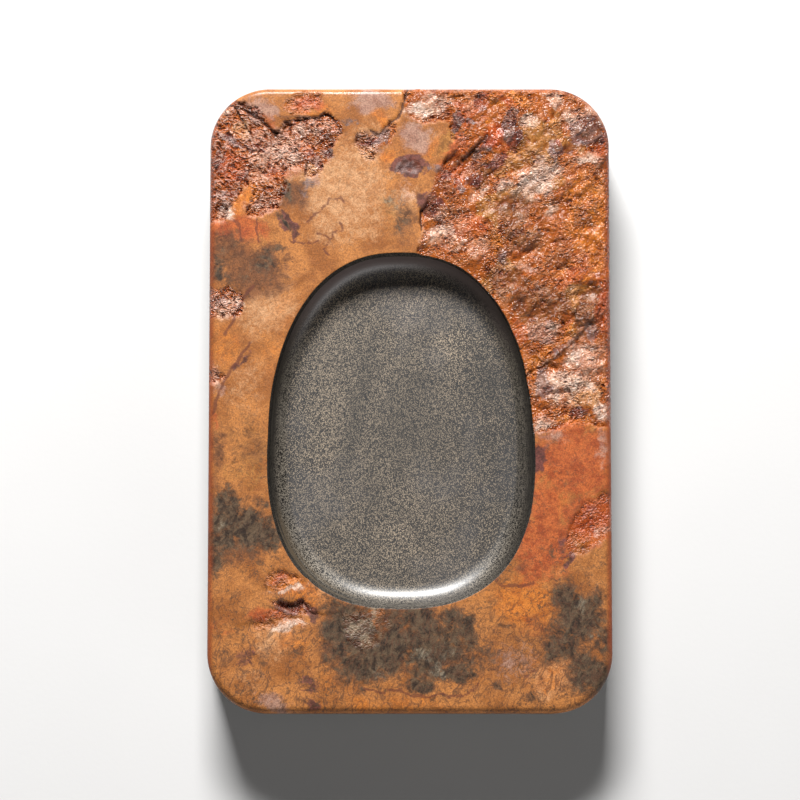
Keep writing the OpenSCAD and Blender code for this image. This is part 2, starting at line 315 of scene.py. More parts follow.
# Stains, each colour with its ellipses: (x, y, half-length, half-width, strength in percent,
# turn in degrees), with the turn left out where it is 0
STAINS = {
    "tan": [
        (-21, 66, 15, 15, 100, 20), (-14, 80, 12, 6, 80, 70), (-30, 72, 8, 4, 80, 20),
        (-46, 27, 9, 7, 100, 30), (-16, 95, 10, 2.5, 40), (-45, 94, 5, 4, 30), (4, 84, 6, 5, 50),
        (-3, 62, 6, 7, 75), (-52, 4, 6, 10, 50), (-54, 86, 4, 2.5, 90, -35), (46, -88, 8, 5, 150, 30),
        (-42, -78, 7, 5, 75), (-30, -62, 5, 3, 90), (-40, 38, 5, 5, 50), (58, -62, 4, 6, 40),
        (-60, 27, 3, 3, 80), (-38, 72, 4, 2, 80), (55, 2, 8, 5, 100), (30, 50, 4, 3, 50, 30),
        (-50, -90, 9, 6, 30),
    ],
    "orange": [
        (37, -66, 12, 8, 100, -10), (-53, 63, 8, 2.5, 100, 55), (-34, -62, 9, 3.5, 80, -15),
        (-37, -78, 6, 4, 70), (7, 80, 6, 4, 60, 50), (-7, 77, 4, 3, 80), (-10, 90, 5, 2.5, 80, -40),
        (-30, 92, 8, 1.5, 70, 12), (42, 12, 6, 3, 90, 45), (28, 50, 3, 5, 80, 20), (39, 53, 3, 2.5, 70),
        (55, 43, 10, 6, 100, 40), (57, 60, 8, 13, 100), (20, 97, 14, 2, 80), (35, 96, 5, 3, 70),
        (26, 87, 3, 3, 70), (50, 20, 5, 2, 80, 40), (52, -9, 7, 2.5, 90), (-24, -89, 7, 4, 50, -60),
        (46, -86, 10, 7, 60, 20), (-7, -97, 20, 3, 50), (22, -88, 4, 3, 40, 20), (46, -30, 5, 9, 50),
        (56, -28, 6, 3, 60, 10), (-58, 17, 5, 8, 50), (12, 63, 8, 3, 50, 60), (62, 5, 2, 12, 60),
        (-42, 20, 4, 14, 40, -10),
    ],
    "red": [
        (52, -20, 15, 12, 100), (42, -48, 9, 11, 100, -25), (-56, 53, 9, 5, 95), (-47, 53, 3, 4, 70),
        (-57, 74, 6, 7, 90), (43, -37, 5, 10, 100), (-26, 85, 3, 4, 70, -50), (-33, 78, 3, 3, 70),
        (22, 95, 5, 3, 90, 40), (32, 95, 4, 2, 70), (27, 84, 5, 4, 120, 38), (17, 92, 3, 5, 80, 20),
        (30, 79, 5, 2, 80, 38), (47, 82, 2.5, 1.5, 100), (61, 79, 4, 5, 80), (62, 30, 2.5, 9, 100),
        (51, 38, 6, 4, 70, 50), (58, -38, 9, 7, 130, 35), (55, 43, 7, 5, 55), (-44, -69, 6, 2, 90, 10),
        (-42, -57.5, 4, 2, 70, 10), (18, 55, 9, 5, 70, 20), (14, 71, 8, 5, 80, 50), (16, 82, 5, 5, 80, 40),
        (-62, -6, 1.5, 6, 50), (42, -26, 4, 10, 70), (-60, -73, 5, 6, 30), (36, 22, 5, 6, 70),
        (40, -73, 6, 3, 40), (34, 47, 4, 3, 60), (-42, 73, 6, 3, 70), (-46, 88, 5, 3, 60, -40),
        (-33, 95, 5, 3, 90, 10), (10, 92, 2, 2, 60), (52, 50, 3, 3, 40),
    ],
    "gold": [
        (41, 83, 7, 8, 100, 10), (33, 76, 7, 3, 100, 25), (26, 61, 3, 5, 90, 10), (33, 64, 7, 4, 100, 25),
        (30, 39, 5, 5, 90, 40), (55, 31, 5, 5, 90, 30), (40, 52, 2, 2, 80), (47, 69, 3, 3, 60),
        (54, 25, 3, 6, 70, -20), (11, 82, 2, 5, 60, -30), (48, 90, 3, 4, 50), (54, 82, 4, 3, 70),
        (-4, 60, 5, 8, 35), (4, -82, 7, 4, 60), (-52, -18, 8, 12, 35),
    ],
    "umber": [
        # (-50, 90.5) and (-34, 91) are thin strips of painted shadow under the ledge at the upper edge of
        # the corner spall
        (-52, -14, 8, 9, 35), (-50, 90.5, 8, 1.3, 100, -40), (-13, 83, 4, 3, 70, 20),
        (37, 50, 6, 4, 90, 20), (53, 82, 4, 1.8, 100, 15), (48, 15, 9, 1.5, 100, 45), (30, 46, 2, 3, 80),
        (15, 76, 6, 2, 40, 50), (41, 76, 2, 1.5, 80), (41, 3, 1.2, 5, 90, -5), (41, 30, 9, 7, 100),
        (34, 61, 7, 4, 100, 20), (56, 60, 6, 9, 40), (24, 72, 6, 4, 60, 38), (57, 27, 5, 7, 130, -25),
        (-38, 65, 5, 4, 80, -30), (-50, 41, 11, 8, 95), (-57, 48, 8, 5, 95), (-61, -17, 3, 5, 80),
        (12, 67, 4, 5, 50), (-4, -76, 8, 10, 60), (28, -80, 10, 12, 35), (8, -71, 9, 3, 50),
        (61, 76, 3, 2, 60), (-56, -46, 9, 6, 70), (-34, 91, 8, 0.8, 90, 8), (45, -75, 8, 7, 50),
        (33, 54, 4, 3, 90, 20), (31, 37, 5, 5, 90), (57, -37, 7, 4, 35, 35), (-1, 56, 4, 5, 50),
        (-24, -80, 6, 8, 60), (-62, -30, 3, 10, 50), (45, 62, 4, 2, 50, 30), (-26.5, 86, 1, 5, 80, 10),
        (8, 86, 1, 1, 30),
    ],
    "mauve": [
        (32, -84, 9, 8, 45), (-11, 95, 8, 3.5, 100, 5), (2, 84, 5, 5, 100), (-30, 70, 4, 2, 60, 30),
        (-43, -96.5, 6, 2.2, 90, -18), (58, 90, 4, 4, 90), (-46, 94, 5, 3, 80), (-62, 3, 3, 3, 60),
        (-10, 80, 3, 4, 60), (62, -16, 2, 8, 50), (42, -12, 4, 2, 50, 15), (9, 60, 4, 5, 70),
        (-58, -97, 8, 3, 50, -40), (43, 21, 5, 4, 80, 20), (45, -13, 6, 2, 50), (-33, 84, 8, 4, 50),
    ],
    "pink": [
        (6, 93, 6, 4, 80), (20, 95, 5, 3, 60), (19, 74, 5, 2.5, 45, 38), (15, 59, 4, 3, 40, 20),
        (-42, 79, 9, 6, 100, -20), (-34, 88, 6, 2.5, 90), (-27, 88, 3, 2, 70), (-58, 60, 3, 3, 90),
        (-47, 62, 5, 2, 80), (40, 70, 6, 4.5, 100, 30), (53, 89, 4, 6, 80, 20), (50, 77, 4, 3, 40, 10),
        (11, 52, 7, 4, 80, 15), (22, 48, 5, 3, 70, 30), (56, 12, 7, 7, 90, 20), (47, 3, 7, 5, 90, 20),
        (43, -9, 5, 2.5, 90, 15), (-59, 29, 5, 3.5, 90), (-62, 7, 2, 3, 80), (-2, 66, 3, 5, 50),
        (38, 42, 5, 2, 70, -25), (-50, 72, 6, 3, 60), (-10, 82, 2, 3, 50), (22, 66, 4, 1.5, 60, 38),
    ],
    # pale stone on the broken ground, partly painted sheen that stands in for its glints
    "chalk_and_sheen": [
        (41, 70, 7, 5, 110, 25), (38, 89.5, 4, 2.5, 90, 20), (56, 77, 5, 2, 90, 10),
        (46, 96, 4, 2.2, 70, -15), (30, 68, 4, 2, 70, 30), (24, 66, 3, 1.2, 80, 30), (52, 91, 3, 4, 80, 40),
        (45, 60, 3, 1.6, 70, 20), (10, 53, 4, 2.5, 80, 20), (16, 49, 4, 1.5, 60, 20), (50, 6, 6, 2.5, 100),
        (45, 0, 3, 3, 90, 30), (58, 15, 4, 4, 50, 30), (52, 12, 4, 2, 60, 35), (48, 42, 3, 1.5, 40, 40),
        (9, 95.5, 6, 3, 50), (42, -10, 4, 1.8, 90, 20), (61, -5, 2, 3, 80), (4, 93, 5, 2, 80),
        (-42, 79, 8, 5, 50, -20), (-34, 86, 6, 2.2, 50), (-60, 60, 3, 2.5, 80), (-56, 30.5, 3, 2, 80),
        (-60, 92, 2, 1.5, 70, 30), (-38, -72.3, 6, 1.2, 70, 10), (-38, -60, 5, 0.8, 80, 10),
        (33, 42, 3, 1.5, 30, 30), (45, 22, 3, 2, 50, 20), (-11, 81, 3, 1.5, 60, 20),
        (60, -43.5, 6, 1, 50, 35), (56, 3, 4, 2, 70), (47, 75, 3, 2, 20, 40),
    ],
    "plum": [
        (22, 76, 4, 3, 40, 38), (7, 62, 3, 4, 70, -20), (59, 88, 3, 3, 60, -30), (28, 76, 3, 1.5, 90, 38),
        (20, 70, 3, 1.5, 70, 38), (22, 95, 2, 3, 60, -30), (0, 74, 4.5, 2.4, 130),
        (-37, -66.3, 6, 1.8, 100, -8), (-32, -68, 2.5, 1.8, 90, -30), (54, -5, 3, 1.8, 100, 20),
        (-32, -91, 4, 3.5, 42), (-31, -97, 3.5, 1.4, 60), (40.6, -19.5, 1.6, 4.5, 100, -15),
        (-31, 77, 3.5, 1.2, 100, -55), (-39, 55.5, 1.3, 4.5, 90, 28), (-52, -82, 3, 3, 50),
        (48, -47, 3, 4, 40), (-12, 82, 5, 2, 60, 20), (62, 84, 2, 3, 60), (-54, 12, 1.0, 5, 50, -40),
        (33, 85, 3, 4, 90), (-58, 66, 4, 2, 50), (50, -52, 3, 1, 90, 35), (-48, 80, 3, 1, 60, -30),
        (-53, 70, 3, 1.5, 60, 40), (58, -36, 3, 2, 40, 30),
    ],
    "slate": [
        (15, 89, 2.5, 4, 100, -10), (21, 89, 2, 1.5, 70), (32, 88, 2.5, 4.5, 100),
        (-57, 83, 7, 1.2, 80, -35), (-61, 77, 3, 3, 70), (-27, 79, 3, 2, 70, -45), (-61, 65, 2.5, 4, 50),
        (24, 81, 3, 1.5, 100, 40), (-8, 84, 1.2, 4, 80, -35), (42.5, 4, 2, 5, 90, 10), (47, 80, 1.5, 3, 80),
        (-1, 74, 3, 2, 50), (58, 21, 3, 4, 45), (57, 86, 5, 4, 80), (11, 72, 2, 2, 60),
        (-20, 89, 4, 1.2, 60), (15, 68, 2, 3, 60), (46, 14, 3, 1.2, 50, 40), (-34, 67, 3, 3, 40, 30),
        (-60, 32, 3, 2, 50), (30, 45, 1.5, 3, 50), (9, 74, 3, 2, 50, -20),
    ],
    "dark": [
        (-19, -73, 10, 9, 100, -20), (-14, -83, 10, 8, 100, 30), (9, -79, 13, 11, 95), (4, -90, 5, 3, 95),
        (15, -88, 6, 3, 90), (1, -70, 8, 4, 85), (54, -70, 9, 9, 100, 20), (48, -79, 7, 5, 90, 30),
        (57, -87, 8, 7, 95, 20), (49, -64, 6, 5, 80, 50), (-55, -42, 11, 7, 100), (-62, -50, 5, 7, 80),
        (-45, -44, 7, 6, 90, -40), (-58, -34, 5, 5, 80), (-46, 42, 5, 7, 60), (-44, 47, 7, 2, 60, 10),
        (-57, 49, 5, 3, 60, 30), (-62, 42, 3, 6, 80), (-60, 38, 4, 3, 50), (-39, 66, 4, 2, 80, -40),
        (-40, 57, 1.4, 3, 80, 30), (30, -73, 4, 2, 50), (46, -15, 1.5, 1.2, 50), (45, -48, 1, 2, 60),
        (35, -52, 3, 3, 40), (-36, -81, 2.5, 2, 50, 45), (-46, -82, 2, 2, 40), (-2, 57, 3, 6, 55),
        (-22, -82, 5, 5, 80), (28, -92, 4, 2, 50, -30), (38, -95, 4, 2.5, 40), (-47, -21, 2, 1.5, 40),
        (40, -87, 3, 5, 30), (-52, -31, 3, 2, 40), (62, -76, 3, 5, 80), (-58, -83, 3, 3, 30),
        (-52, 39, 4, 5, 40), (-48, -34, 4, 3, 60), (-23, -66, 4, 3, 70, -30), (12, -70, 8, 3, 80),
        (24, -82, 4, 6, 50), (-6, -78, 6, 10, 100), (18, -76, 5, 7, 80),
    ],
    "ash": [
        (-15, -74, 6, 4.5, 75, -10), (-11, -70, 2, 6, 70), (54, -67, 1.5, 4, 45, -10), (12, -81, 3, 5, 40),
        (-5, 66, 4, 5, 35), (4, -82, 5, 3, 50), (9, -87, 3, 2, 40), (58, -74, 3, 2, 40),
        (-10, -88, 3, 3, 30), (-58, -40, 3, 2, 40),
    ],
}


def pushed(x, y, *pushes):
    """The plan with its coordinates pushed about by noise, so that edges wander as natural ones
    do.  A push is (how far, size, seed for x, seed for y, then layers and gain of the noise)."""
    new_x, new_y = x, y
    for amount, size, seed_x, seed_y, *layers in pushes:
        new_x = new_x + amount * layered_noise(x, y, size, seed_x, *layers)
        new_y = new_y + amount * layered_noise(x, y, size, seed_y, *layers)
    return new_x, new_y


def staircase(height, step):
    """The same height in treads and risers, as bedded stone breaks."""
    level = np.floor(height / step)
    part = height / step - level
    return step * (level + 0.25 * part + 0.75 * smoothstep(0.32, 0.62, part))


def broken_ground(x, y, direction):
    """Relief of a spalled floor, in mm, about zero: broken beds with scoops between them."""
    along, across = turned(x, y, direction, 1.3)
    bend = 1.4 * layered_noise(x, y, 7, 23, 3)
    lumps = layered_noise(x, y, 16, 41, 2)
    beds = staircase(2.0 * layered_noise(along + bend, across, 10, 83, 4, 0.55), 0.42)
    coarse = scoops(along + bend, across + bend, 6.5, 29, 1.4)
    middle = scoops(along + bend, across, 2.9, 31, 1.4)
    busy = 0.35 + 0.65 * smoothstep(-0.35, 0.35, layered_noise(x, y, 12, 97, 2))
    return 0.30 * lumps + 0.60 * beds + 0.75 * (coarse - 0.2) + 0.45 * busy * (middle - 0.2)


def edge_roll(x, y):
    """How much the worn edge of the face falls away before the arris proper begins."""
    px = np.abs(x) - (WIDTH / 2 - CORNER)
    py = np.abs(y) - (LENGTH / 2 - CORNER)
    from_edge = CORNER - beyond_corner(px, py)
    return ROLL_DEPTH * np.clip(1 - from_edge / ROLL_WIDTH, 0, 1) ** 2


def beyond_rim(x, y):
    """About how far outside the rim of the well each point is, in mm."""
    direction = np.arctan2(y - WELL_Y, x - WELL_X)
    rim = np.interp(direction, RAY, RIM_RADIUS, period=2 * math.pi)
    return np.hypot(x - WELL_X, y - WELL_Y) - rim


def relief(x, y):
    """Depth of the surface below the flat face, in mm, with masks for the material."""
    shape = np.shape(x)
    x, y = np.ravel(x), np.ravel(y)
    wx, wy = pushed(x, y, (1.1, 7, 11, 17, 2), (0.55, 2.2, 13, 19, 2))
    depth = 0.10 + 0.10 * layered_noise(x, y, 17, 43, 2) + 0.045 * layered_noise(x, y, 4, 47, 4)
    depth = depth + edge_roll(x, y)
    rough = np.zeros(x.shape)
    calm = 0.25 + 0.75 * smoothstep(0, 4.5, beyond_rim(x, y))
    for outline, fall, roughness, direction in SPALLS:
        inside = inside_distance(wx, wy, outline)
        near = inside > -0.4
        ground = roughness * broken_ground(x[near], y[near], direction) * calm[near]
        depth[near] += smoothstep(-0.15, 0.75, inside[near]) * (fall + ground)
        rough[near] = np.maximum(rough[near], roughness * smoothstep(-0.3, 0.5, inside[near]))
    for line, drop, reach in LEDGES:
        away = line_distance(wx, wy, line)
        depth += drop * smoothstep(-0.5, 1.0, away) * np.exp(-np.abs(away) / reach)
    crack = np.zeros(x.shape)
    cx, cy = pushed(x, y, (0.35, 2.0, 53, 59, 2))
    for line, half_width, fall in CRACKS:
        away = np.abs(line_distance(cx, cy, line))
        groove = 1 - smoothstep(0.3 * half_width, 1.7 * half_width, away)
        depth += fall * groove
        crack = np.maximum(crack, groove * min(1, 1.4 * fall / 0.5))
    depth = np.clip(depth, 0.02, 2.5)
    return depth.reshape(shape), rough.reshape(shape), crack.reshape(shape)


def vein_mask(x, y):
    cx, cy = pushed(x, y, (0.5, 2.5, 61, 67, 3))
    mask = np.zeros(np.shape(x))
    for line, half_width in VEINS:
        away = np.abs(line_distance(cx, cy, line))
        mask = np.maximum(mask, 1 - smoothstep(0.4 * half_width, 1.6 * half_width + 0.30, away))
    return mask


def stain_masks(x, y):
    """One soft field for each colour of stain; the material breaks up its edges."""
    masks = {}
    for index, (name, ellipses) in enumerate(STAINS.items()):
        seed = 100 + 10 * index
        masks[name] = spots(*pushed(x, y, (2.0, 8, seed, seed + 4, 4, 0.6)), ellipses)
    return masks


# ---------------- outlines in the plan
def egg(t, inset):
    """A point of the well's outline drawn in by inset, for the curve's own angle t."""
    across, along = WELL_HALF_WIDTH - inset, WELL_HALF_LENGTH - inset
    c, s = np.cos(t), np.sin(t)
    return (WELL_X + across * (1 - WELL_TAPER * s) * np.sign(c) * np.abs(c) ** WELL_POWER,
            WELL_Y + along * np.sign(s) * np.abs(s) ** WELL_POWER)


def slab_outline(direction, inset):
    """Where a ray from the well's middle meets the slab's outline drawn in by inset."""
    half_x, half_y, r = WIDTH / 2 - inset, LENGTH / 2 - inset, CORNER - inset
    near, far = np.zeros(np.shape(direction)), np.full(np.shape(direction), LENGTH)
    for _ in range(40):
        middle = (near + far) / 2
        px = np.abs(WELL_X + middle * np.cos(direction)) - (half_x - r)
        py = np.abs(WELL_Y + middle * np.sin(direction)) - (half_y - r)
        out = beyond_corner(px, py) > r
        near, far = np.where(out, near, middle), np.where(out, middle, far)
    return WELL_X + near * np.cos(direction), WELL_Y + near * np.sin(direction)


def column_angles():
    """Directions of the mesh's columns from the well's middle, closer where the face is rough,
    with the well curve's own angle for each."""
    count = 14401
    dense = np.linspace(-math.pi, math.pi, count)
    ex, ey = egg(dense, 0)
    ray = np.unwrap(np.arctan2(ey - WELL_Y, ex - WELL_X))
    directions = np.linspace(ray[0], ray[-1], count)
    own = np.interp(directions, ray, dense)
    ox, oy = slab_outline(directions, ARRIS)
    ix, iy = egg(own, 0)
    mx, my = 0.4 * ix + 0.6 * ox, 0.4 * iy + 0.6 * oy
    busy = np.maximum(smoothstep(45, 58, my), smoothstep(20, 35, mx) * smoothstep(-20, -8, my))
    step = np.hypot(np.diff(mx), np.diff(my)) * (0.45 + 0.55 * (busy[1:] + busy[:-1]) / 2)
    travel = np.concatenate([[0], np.cumsum(step)])
    wanted = np.linspace(0, travel[-1], COLUMNS, endpoint=False)
    chosen = np.interp(wanted, travel, directions)
    return chosen, np.interp(chosen, directions, own)


RAY, OWN = column_angles()
RIM_X, RIM_Y = egg(OWN, 0)
RIM_RADIUS = np.hypot(RIM_X - WELL_X, RIM_Y - WELL_Y)


def floor_depth(y):
    return WELL_DEPTH + FLOOR_FALL * (y - WELL_Y + WELL_HALF_LENGTH) / (2 * WELL_HALF_LENGTH)


def wall_inset(depth, y):
    """How far in from the rim the wall is at a depth: a leaning wall, then the cove."""
    wall = floor_depth(y) - COVE
    below = np.clip((depth - wall) / COVE, 0, 1)
    return np.where(depth < wall, LEAN * depth / wall, LEAN + COVE * (1 - np.sqrt(1 - below ** 2)))


# ---------------- meshes from rows of columns
def ring_quads(count, closed=False):
    """Quads between neighbouring rings of COLUMNS points; closed joins the last to the first."""
    quads = []
    for ring in range(count if closed else count - 1):
        a, b = ring * COLUMNS, (ring + 1) % count * COLUMNS
        quads.append(np.stack([a + HERE, a + NEXT, b + NEXT, b + HERE], -1))
    return np.concatenate(quads)


def mesh_object(name, points, quads, masks=None, triangles=()):
    """An object from points in mm; masks are named values for the material, one to a point."""
    mesh = bpy.data.meshes.new(name)
    faces = quads.tolist() + [list(t) for t in triangles]
    mesh.from_pydata((points * MM).tolist(), [], faces)
    mesh.polygons.foreach_set("use_smooth", np.ones(len(faces), bool))
    for mask, values in (masks or {}).items():
        layer = mesh.attributes.new(mask, "FLOAT", "POINT")
        layer.data.foreach_set("value", np.asarray(values, np.float32).ravel())
    mesh.set_sharp_from_angle(angle=math.radians(75))
    mesh.update()
    piece = bpy.data.objects.new(name, mesh)
    bpy.context.scene.collection.objects.link(piece)
    return piece


def build_rind():
    # the depth at which the face meets the well, found in three rounds
    start = np.zeros(COLUMNS)
    for _ in range(3):
        ix, iy = egg(OWN, wall_inset(start, RIM_Y) - RIM_BEVEL)
        start = relief(ix, iy)[0]
    ox, oy = slab_outline(RAY, ARRIS)

    # the face, from the rim of the well to the arris
    share = np.linspace(0, 1, FACE_ROWS)[:, None]
    face_x, face_y = ix + share * (ox - ix), iy + share * (oy - iy)
    depth, rough, crack = relief(face_x, face_y)
    rows = list(zip(face_x, face_y, FACE - depth))
    wall = [0.0] * FACE_ROWS

    # the arris, pressed in where the face is spalled
    outward = np.stack(slab_outline(RAY, 0)) - np.stack(slab_outline(RAY, 1))
    outward /= np.hypot(*outward)
    for step in range(1, ARRIS_ROWS + 1):
        a = math.radians(90 * step / ARRIS_ROWS)
        x, y = slab_outline(RAY, ARRIS * (1 - math.sin(a)))
        sunk = relief(x, y)[0] * (1 - 0.7 * step / ARRIS_ROWS)
        x, y = x - outward[0] * sunk * math.sin(a), y - outward[1] * sunk * math.sin(a)
        rows.append((x, y, FACE - ARRIS * (1 - math.cos(a)) - sunk * math.cos(a)))
        wall.append(0.0)
    x, y = slab_outline(RAY, 0)
    rows.append((x, y, np.full(COLUMNS, SEAM)))
    wall.append(0.0)

    # the hidden underside, then up the wall of the well to the rim
    for share in np.linspace(1, 0, WALL_ROWS):
        depth_here = start + RIM_BEVEL + (RIND - start - RIM_BEVEL) * share
        x, y = egg(OWN, wall_inset(depth_here, RIM_Y))
        rows.append((x, y, FACE - depth_here))
        wall.append(1.0)
    edge, low = wall_inset(start, RIM_Y), wall_inset(start + RIM_BEVEL, RIM_Y)
    for t in (0.25, 0.5, 0.75):
        inset = (1 - t) ** 2 * low + 2 * t * (1 - t) * edge + t * t * (edge - RIM_BEVEL)
        x, y = egg(OWN, inset)
        rows.append((x, y, FACE - start - RIM_BEVEL * (1 - t) ** 2))
        wall.append(1 - t)

    x, y = np.stack([r[0] for r in rows]), np.stack([r[1] for r in rows])
    masks = stain_masks(x, y)
    flat_depth, masks["rough"], masks["crack"] = relief(x, y)
    masks["vein"] = vein_mask(x, y)
    masks["wall"] = np.repeat(wall, COLUMNS)
    # hollow: how far a point lies below its neighbours; the material paints shade into it
    masks["hollow"] = np.clip(0.5 + (flat_depth - surroundings(flat_depth, 2)) / 0.30, 0, 1)
    points = np.concatenate([np.stack(row, -1) for row in rows])
    return mesh_object("rind", points, ring_quads(len(rows), closed=True), masks)


def surroundings(grid, reach):
    """Mean of a grid of values over its neighbours, round and across the rows."""
    total = 0.0
    for axis in (0, 1):
        for step in range(-reach, reach + 1):
            total = total + np.roll(grid, step, axis)
    return total / (4 * reach + 2)


def build_core():
    # the cove, from the seam down to the floor, then the floor in to its middle
    rows = []
    split = np.arcsin(np.clip((RIND - (floor_depth(RIM_Y) - COVE)) / COVE, 0, 1))
    for step in range(COVE_ROWS + 1):
        t = split + (math.pi / 2 - split) * step / COVE_ROWS
        x, y = egg(OWN, LEAN + COVE * (1 - np.cos(t)))
        z = FACE - (floor_depth(y) - COVE) - COVE * np.sin(t)
        rows.append((x, y, np.full(COLUMNS, SEAM) if step == 0 else z))
    edge_x, edge_y, _ = rows[-1]
    for share in (0.9, 0.78, 0.64, 0.5, 0.36, 0.22, 0.1):
        x, y = WELL_X + share * (edge_x - WELL_X), WELL_Y + share * (edge_y - WELL_Y)
        rows.append((x, y, FACE - floor_depth(y)))

    # the side, from the seam down, and the back in to its middle
    back = []
    for step in range(SIDE_ROWS + 1):
        z = SEAM + (CHAMFER - SEAM) * step / SIDE_ROWS
        inset = side_texture(*slab_outline(RAY, 0), z) * min(1, 4 * step / SIDE_ROWS)
        x, y = slab_outline(RAY, inset * min(1, 4 * (SIDE_ROWS - step) / SIDE_ROWS))
        back.append((x, y, np.full(COLUMNS, z)))
    for inset, z in ((0.35 * CHAMFER, 0.5 * CHAMFER), (CHAMFER, 0.0)):
        x, y = slab_outline(RAY, inset)
        back.append((x, y, np.full(COLUMNS, z)))
    edge_x, edge_y, _ = back[-1]
    for share in (0.95, 0.8, 0.6, 0.4, 0.2):
        back.append((share * edge_x, share * edge_y, np.zeros(COLUMNS)))

    rings = [np.stack(row, -1) for row in back[::-1] + rows]
    middles = [[WELL_X, WELL_Y, FACE - floor_depth(WELL_Y)], [0.0, 0.0, 0.0]]
    points = np.concatenate([*rings, middles])
    last = (len(rings) - 1) * COLUMNS
    floor_middle, back_middle = len(points) - 2, len(points) - 1
    fans = [(last + a, last + b, floor_middle) for a, b in zip(HERE, NEXT)]
    fans += [(b, a, back_middle) for a, b in zip(HERE, NEXT)]
    return mesh_object("core", points, ring_quads(len(rings)), triangles=fans)


def side_texture(x, y, z):
    """How far the honed side stands in from its true plane: faint beds and dressing marks."""
    along = np.unwrap(np.arctan2(y, x)) * 60
    beds = layered_noise(along * 0.05, z + 0.3 * layered_noise(along, 0 * along, 20, 73, 2), 2.4, 71, 3)
    return np.clip(0.07 + 0.05 * beds + 0.04 * layered_noise(along, z + 0 * along, 9, 79, 3), 0.0, 0.25)


# ---------------- materials
class Shader:
    """A short way to build one node material whose coordinates are in mm."""

    def __init__(self, name):
        self.material = bpy.data.materials.new(name)
        self.material.use_nodes = True
        self.tree = self.material.node_tree
        self.surface = self.tree.nodes["Principled BSDF"]
        self.mm = self.scale(self.node("TexCoord", {})["Object"], 1 / MM)

    def put(self, value, socket):
        if isinstance(value, bpy.types.NodeSocket):
            self.tree.links.new(value, socket)
        elif isinstance(value, tuple) and socket.type == "RGBA":
            socket.default_value = (*value, 1)
        else:
            socket.default_value = value

    def node(self, kind, inputs, **settings):
        """Outputs of a new node; its inputs are given by name or by number."""
        n = self.tree.nodes.new("ShaderNode" + kind)
        for name, value in settings.items():
            setattr(n, name, value)
        for name, value in inputs.items():
            self.put(value, n.inputs[name])
        return n.outputs

    def scale(self, vector, factor):
        return self.node("VectorMath", {0: vector, "Scale": factor}, operation="SCALE")[0]

    def add(self, vector, other):
        return self.node("VectorMath", {0: vector, 1: other}, operation="ADD")[0]

    def math(self, operation, a, b=0.0):
        return self.node("Math", {0: a, 1: b}, operation=operation)[0]

    def inverse(self, value):
        return self.math("SUBTRACT", 1.0, value)

    def times(self, *factors):
        result = factors[0]
        for factor in factors[1:]:
            result = self.math("MULTIPLY", result, factor)
        return result

    def total(self, *terms):
        """Sum of (value, weight) pairs."""
        result = 0.0
        for value, weight in terms:
            inputs = {0: value, 1: weight, 2: result}
            result = self.node("Math", inputs, operation="MULTIPLY_ADD")[0]
        return result

    def fade(self, value, low, high, to_low=0.0, to_high=1.0):
        """The smooth step from low to high."""
        inputs = {"Value": value, "From Min": low, "From Max": high, "To Min": to_low, "To Max": to_high}
        return self.node("MapRange", inputs, interpolation_type="SMOOTHSTEP")["Result"]

    def noise(self, size, detail=3.0, roughness=0.5, distortion=0.0, at=None, output="Fac"):
        inputs = {"Vector": at or self.mm, "Scale": 1 / size, "Detail": detail,
                  "Roughness": roughness, "Distortion": distortion}
        return self.node("TexNoise", inputs)[output]

    def cells(self, size):
        return self.node("TexVoronoi", {"Vector": self.mm, "Scale": 1 / size})["Color"]

    def crests(self, noise, gain):
        """Sharp winding crests, about zero on average, from a noise about a half."""
        away = self.math("ABSOLUTE", self.math("SUBTRACT", noise, 0.5))
        return self.total((away, -gain), (gain, 0.075))

    def axis(self, name):
        return self.node("SeparateXYZ", {0: self.mm})[name]

    def mask(self, name):
        return self.node("Attribute", {}, attribute_name=name)["Fac"]

    def placed(self, at, degrees, scale, middle=(0, 0, 0)):
        """Coordinates of something that is moved, turned in the plan and stretched."""
        turn = (0, 0, math.radians(degrees))
        inputs = {"Vector": at, "Location": middle, "Rotation": turn, "Scale": scale}
        return self.node("Mapping", inputs, vector_type="TEXTURE")[0]

    def stretched(self, degrees, stretch):
        """Coordinates in which a texture is drawn out along a direction in the plan."""
        return self.placed(self.mm, degrees, (stretch, 1, 1))

    def spot(self, at, ellipse):
        """1 in the middle of an ellipse in the plan, fading to 0 at its edge."""
        x, y, long, short, _, turn = ellipse
        high = 100  # mm, so that height makes no difference
        inner = self.placed(at, turn, (long, short, high), (x, y, 0))
        away = self.node("VectorMath", {0: inner}, operation="LENGTH")["Value"]
        return self.fade(away, 1.0, 0.2)

    def mix(self, a, b, *shares):
        """Colour a with a share of colour b; more than one share are multiplied."""
        return self.node("Mix", {0: self.times(*shares), 6: a, 7: b}, data_type="RGBA")[2]

    def over(self, colour, *shares):
        """Lay a colour over the colour that the surface has so far."""
        self.colour = self.mix(self.colour, colour, *shares)

    def ramp(self, value, stops):
        n = self.tree.nodes.new("ShaderNodeValToRGB")
        self.put(value, n.inputs[0])
        elements = n.color_ramp.elements
        while len(elements) < len(stops):
            elements.new(1.0)
        for element, (place, colour) in zip(elements, stops):
            element.position, element.color = place, (*colour, 1)
        return n.outputs["Color"]

    def bump(self, height, depth):
        return self.node("Bump", {"Distance": depth * MM, "Height": height})["Normal"]

    def finish(self, roughness, normal):
        for name, value in (("Base Color", self.colour), ("Roughness", roughness), ("Normal", normal)):
            self.put(value, self.surface.inputs[name])
        return self.material


